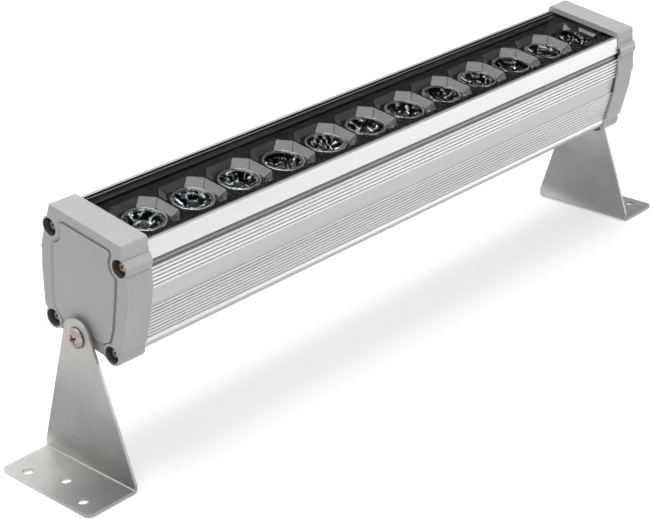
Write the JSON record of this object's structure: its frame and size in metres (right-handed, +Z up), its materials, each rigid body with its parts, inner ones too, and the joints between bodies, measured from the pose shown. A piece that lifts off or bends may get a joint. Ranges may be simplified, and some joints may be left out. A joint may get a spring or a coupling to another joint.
{
  "type": "outdoor wall washer light",
  "caption": "Linear outdoor wall washer: ribbed aluminium trough with glass lid and a row of hooded lenses, screwed end caps and bent sheet brackets it tilts on.",
  "frame": {"origin": "centre of the rectangle of the four outer foot holes, on the surface the feet are screwed to, straight below the tilt axis", "axes": "+X along the light towards the cable gland, +Y to the back, +Z up from the mounting surface"},
  "size_m": [0.582, 0.0867, 0.1687],
  "materials": {
    "profile_aluminium": "natural anodised extrusion, finely ribbed, satin",
    "cap_paint": "light grey paint over cast aluminium, smooth",
    "black_rubber": "matt black rubber",
    "screw_steel": "bright stainless steel",
    "cover_glass": "clear toughened glass",
    "board_white": "white solder mask on a metal-core board",
    "driver_case": "matt black potted case",
    "gland_nylon": "matt black nylon",
    "bracket_steel": "plain rolled stainless sheet, satin",
    "hood_black": "dark satin moulded plastic",
    "lens_clear": "clear moulded acrylic, polished",
    "led_yellow": "pale yellow phosphor dome on a white base"
  },
  "bodies": {
    "housing": {"housing_profile": "profile_aluminium", "left_end_cap": "cap_paint", "right_end_cap": "cap_paint", "left_cap_gasket": "black_rubber", "right_cap_gasket": "black_rubber", "left_cap_screws": "screw_steel", "right_cap_screws": "screw_steel", "glass_cover": "cover_glass", "front_glass_seal": "black_rubber", "rear_glass_seal": "black_rubber", "led_board": "board_white", "board_screws": "screw_steel", "driver_block": "driver_case", "gland_body": "gland_nylon", "gland_seal": "black_rubber", "gland_nut": "gland_nylon", "gland_locknut": "gland_nylon", "left_tilt_screw": "screw_steel", "right_tilt_screw": "screw_steel", "left_spacer": "black_rubber", "right_spacer": "black_rubber", "hood_1": "hood_black", "hood_2": "hood_black", "hood_3": "hood_black", "hood_4": "hood_black", "hood_5": "hood_black", "hood_6": "hood_black", "hood_7": "hood_black", "hood_8": "hood_black", "hood_9": "hood_black", "hood_10": "hood_black", "hood_11": "hood_black", "hood_12": "hood_black", "lens_1": "lens_clear", "lens_2": "lens_clear", "lens_3": "lens_clear", "lens_4": "lens_clear", "lens_5": "lens_clear", "lens_6": "lens_clear", "lens_7": "lens_clear", "lens_8": "lens_clear", "lens_9": "lens_clear", "lens_10": "lens_clear", "lens_11": "lens_clear", "lens_12": "lens_clear", "led_1": "led_yellow", "led_2": "led_yellow", "led_3": "led_yellow", "led_4": "led_yellow", "led_5": "led_yellow", "led_6": "led_yellow", "led_7": "led_yellow", "led_8": "led_yellow", "led_9": "led_yellow", "led_10": "led_yellow", "led_11": "led_yellow", "led_12": "led_yellow"},
    "left_stand": {"left_bracket": "bracket_steel"},
    "right_stand": {"right_bracket": "bracket_steel"}
  },
  "joints": [
    {"name": "left_tilt", "type": "hinge", "parent": "housing", "child": "left_stand", "pos_m": [-0.2544, 0, 0.0902], "axis": [1, 0, 0], "range_deg": [-81.1, 98.9]},
    {"name": "right_tilt", "type": "hinge", "parent": "housing", "child": "right_stand", "pos_m": [0.2544, 0, 0.0902], "axis": [1, 0, 0], "range_deg": [-81.1, 98.9]}
  ]
}
